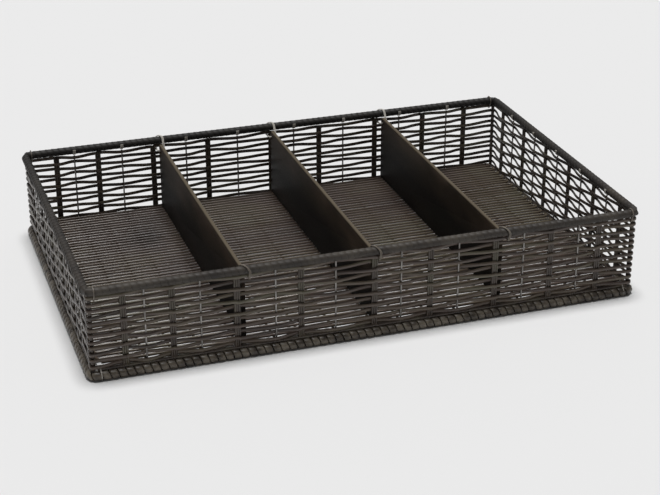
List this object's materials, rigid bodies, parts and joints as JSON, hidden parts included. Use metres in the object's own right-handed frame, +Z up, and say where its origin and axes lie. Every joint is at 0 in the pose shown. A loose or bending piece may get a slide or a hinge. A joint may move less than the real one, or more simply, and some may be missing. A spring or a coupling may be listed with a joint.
{
  "type": "cutlery basket",
  "caption": "Low open rectangular basket of dark woven plastic cord on a wire frame, with a wound rim, a corded foot and lengthwise boards that part it into compartments for table cutlery.",
  "frame": {"origin": "on the ground under the middle of the basket", "axes": "+X along the basket's long side, +Y from front to back, +Z up"},
  "size_m": [0.5296, 0.338, 0.0915],
  "materials": {
    "woven_cord": "satin gloss extruded cord",
    "wound_strip": "satin flat strip, wound turn beside turn",
    "coated_wire": "black coated steel wire",
    "divider_board": "satin smooth board",
    "binding_cord": "thin matt cord"
  },
  "bodies": {
    "root": {"rim_wrap_right": "wound_strip", "foot_border_right": "woven_cord", "right_wire_panel": "coated_wire", "rim_wrap_back": "wound_strip", "foot_border_back": "woven_cord", "back_wire_panel": "coated_wire", "rim_wrap_left": "wound_strip", "foot_border_left": "woven_cord", "left_wire_panel": "coated_wire", "rim_wrap_front": "wound_strip", "foot_border_front": "woven_cord", "front_wire_panel": "coated_wire", "rim_core_rod": "coated_wire", "foot_core_rod": "coated_wire", "corner_post_front_left": "coated_wire", "corner_post_front_right": "coated_wire", "corner_post_back_left": "coated_wire", "corner_post_back_right": "coated_wire", "base_wire_panel": "coated_wire", "base_mat": "woven_cord", "weaver_row_01": "woven_cord", "weaver_row_02": "woven_cord", "weaver_row_03": "woven_cord", "weaver_row_04": "woven_cord", "weaver_row_05": "woven_cord", "weaver_row_06": "woven_cord", "weaver_row_07": "woven_cord", "weaver_row_08": "woven_cord", "weaver_row_09": "woven_cord", "weaver_row_10": "woven_cord", "weaver_row_11": "woven_cord", "weaver_row_12": "woven_cord", "divider_1": "divider_board", "divider_2": "divider_board", "divider_3": "divider_board", "divider_lashing_1_front": "binding_cord", "divider_lashing_1_back": "binding_cord", "divider_lashing_2_front": "binding_cord", "divider_lashing_2_back": "binding_cord", "divider_lashing_3_front": "binding_cord", "divider_lashing_3_back": "binding_cord", "corner_tie_front_left": "binding_cord", "corner_tie_front_right": "binding_cord", "corner_tie_back_left": "binding_cord", "corner_tie_back_right": "binding_cord"}
  },
  "joints": []
}
